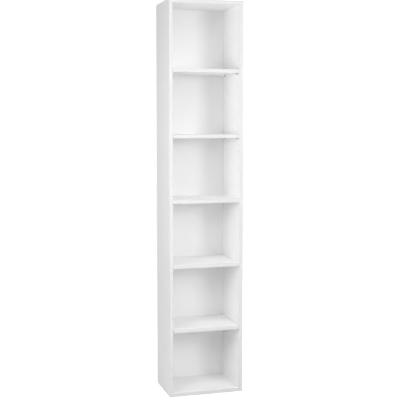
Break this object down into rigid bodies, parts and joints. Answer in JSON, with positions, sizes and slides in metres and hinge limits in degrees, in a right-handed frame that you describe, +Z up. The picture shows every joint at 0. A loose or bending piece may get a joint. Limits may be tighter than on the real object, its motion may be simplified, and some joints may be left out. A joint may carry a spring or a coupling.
{
  "type": "bookcase",
  "caption": "Tall narrow white open bookcase with loose shelves on pins between full-height sides, closed by a thin back.",
  "frame": {"origin": "on the floor, in the middle of the bookcase's footprint", "axes": "+Z up, the open front faces -Y, +X to the right of someone facing the front"},
  "size_m": [0.39, 0.28, 2.045],
  "materials": {
    "white_melamine": "satin",
    "white_edge_band": "satin",
    "white_hardboard": "satin",
    "white_plastic": "matte",
    "clear_plastic": "matte",
    "zinc": "satin",
    "plated_steel": "satin",
    "nickel": "satin",
    "beech": "matte"
  },
  "bodies": {
    "carcass": {"left_side_panel": "white_melamine", "left_side_panel_front_band": "white_edge_band", "right_side_panel": "white_melamine", "right_side_panel_front_band": "white_edge_band", "bottom_panel": "white_melamine", "bottom_panel_front_band": "white_edge_band", "bottom_panel_cam_locks": "zinc", "bottom_panel_cam_bolts": "plated_steel", "bottom_panel_dowels": "beech", "fixed_shelf": "white_melamine", "fixed_shelf_front_band": "white_edge_band", "fixed_shelf_cam_locks": "zinc", "fixed_shelf_cam_bolts": "plated_steel", "fixed_shelf_dowels": "beech", "top_panel": "white_melamine", "top_panel_front_band": "white_edge_band", "top_panel_cam_locks": "zinc", "top_panel_cam_bolts": "plated_steel", "top_panel_dowels": "beech", "fixed_shelf_cam_caps": "white_plastic", "back_panel": "white_hardboard", "back_panel_nails": "plated_steel", "floor_glides": "clear_plastic", "floor_glide_nails": "plated_steel", "wall_bracket": "plated_steel", "wall_bracket_screws": "plated_steel", "adjustable_shelf_1_pins": "nickel", "adjustable_shelf_2_pins": "nickel", "adjustable_shelf_3_pins": "nickel", "adjustable_shelf_4_pins": "nickel"},
    "shelf_1": {"adjustable_shelf_1": "white_melamine", "adjustable_shelf_1_front_band": "white_edge_band"},
    "shelf_2": {"adjustable_shelf_2": "white_melamine", "adjustable_shelf_2_front_band": "white_edge_band"},
    "shelf_3": {"adjustable_shelf_3": "white_melamine", "adjustable_shelf_3_front_band": "white_edge_band"},
    "shelf_4": {"adjustable_shelf_4": "white_melamine", "adjustable_shelf_4_front_band": "white_edge_band"}
  },
  "joints": [
    {"name": "shelf_1_lift", "type": "slide", "parent": "carcass", "child": "shelf_1", "axis": [0, 0, 1], "range_m": [0, 0.288]},
    {"name": "shelf_2_lift", "type": "slide", "parent": "carcass", "child": "shelf_2", "axis": [0, 0, 1], "range_m": [0, 0.288]},
    {"name": "shelf_3_lift", "type": "slide", "parent": "carcass", "child": "shelf_3", "axis": [0, 0, 1], "range_m": [0, 0.288]},
    {"name": "shelf_4_lift", "type": "slide", "parent": "carcass", "child": "shelf_4", "axis": [0, 0, 1], "range_m": [0, 0.288]}
  ]
}
